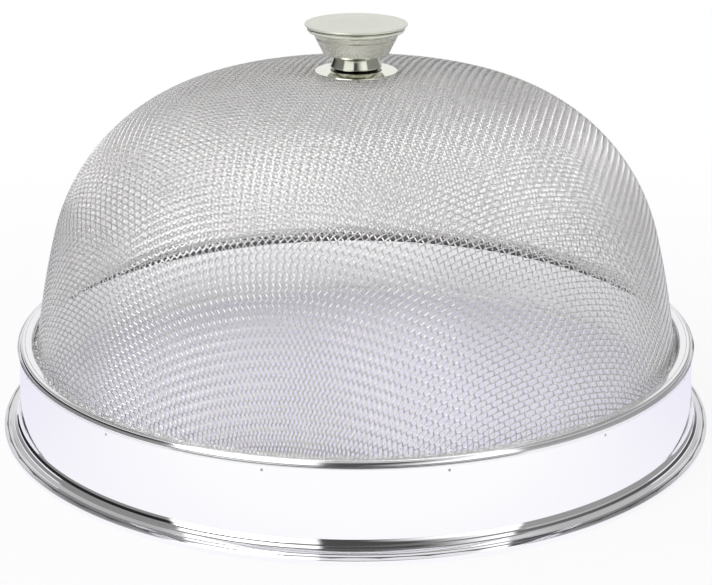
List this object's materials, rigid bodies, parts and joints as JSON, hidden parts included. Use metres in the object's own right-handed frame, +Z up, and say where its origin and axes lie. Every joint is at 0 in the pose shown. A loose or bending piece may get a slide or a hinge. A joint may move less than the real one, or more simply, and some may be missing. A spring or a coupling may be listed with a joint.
{
  "type": "mesh food dome",
  "caption": "Stainless steel food cover: a woven wire mesh dome in a polished sheet rim with a flared rolled foot, lifted by a turned metal knob.",
  "frame": {"origin": "centre of the circle the foot stands on, at the bottom of the overall box", "axes": "+Z is up through the knob, -Y is the side towards the viewer of the picture, +X is to that viewer's right"},
  "size_m": [0.3, 0.3, 0.1675],
  "materials": {
    "rim_steel": "mirror-polished stainless steel sheet, pressed and rolled",
    "inner_steel": "plain rolled stainless steel, unpolished where it is hidden",
    "weld_steel": "resistance weld nugget, dull grey",
    "woven_wire": "bright drawn stainless wire, plain square weave",
    "knob_steel": "turned and polished stainless steel",
    "cap_steel": "satin polished disc, bare on top",
    "fastener_steel": "plain zinc-coloured steel fastener"
  },
  "bodies": {
    "root": {"rim_band": "rim_steel", "foot_wire": "inner_steel", "retaining_ring": "inner_steel", "spot_weld_01": "weld_steel", "spot_weld_02": "weld_steel", "spot_weld_03": "weld_steel", "spot_weld_04": "weld_steel", "spot_weld_05": "weld_steel", "spot_weld_06": "weld_steel", "spot_weld_07": "weld_steel", "spot_weld_08": "weld_steel", "spot_weld_09": "weld_steel", "spot_weld_10": "weld_steel", "spot_weld_11": "weld_steel", "spot_weld_12": "weld_steel", "spot_weld_13": "weld_steel", "mesh_dome": "woven_wire", "knob_base": "knob_steel", "knob_body": "knob_steel", "knob_cap": "cap_steel", "knob_screw": "fastener_steel", "spring_washer": "fastener_steel", "inner_washer": "fastener_steel"}
  },
  "joints": []
}
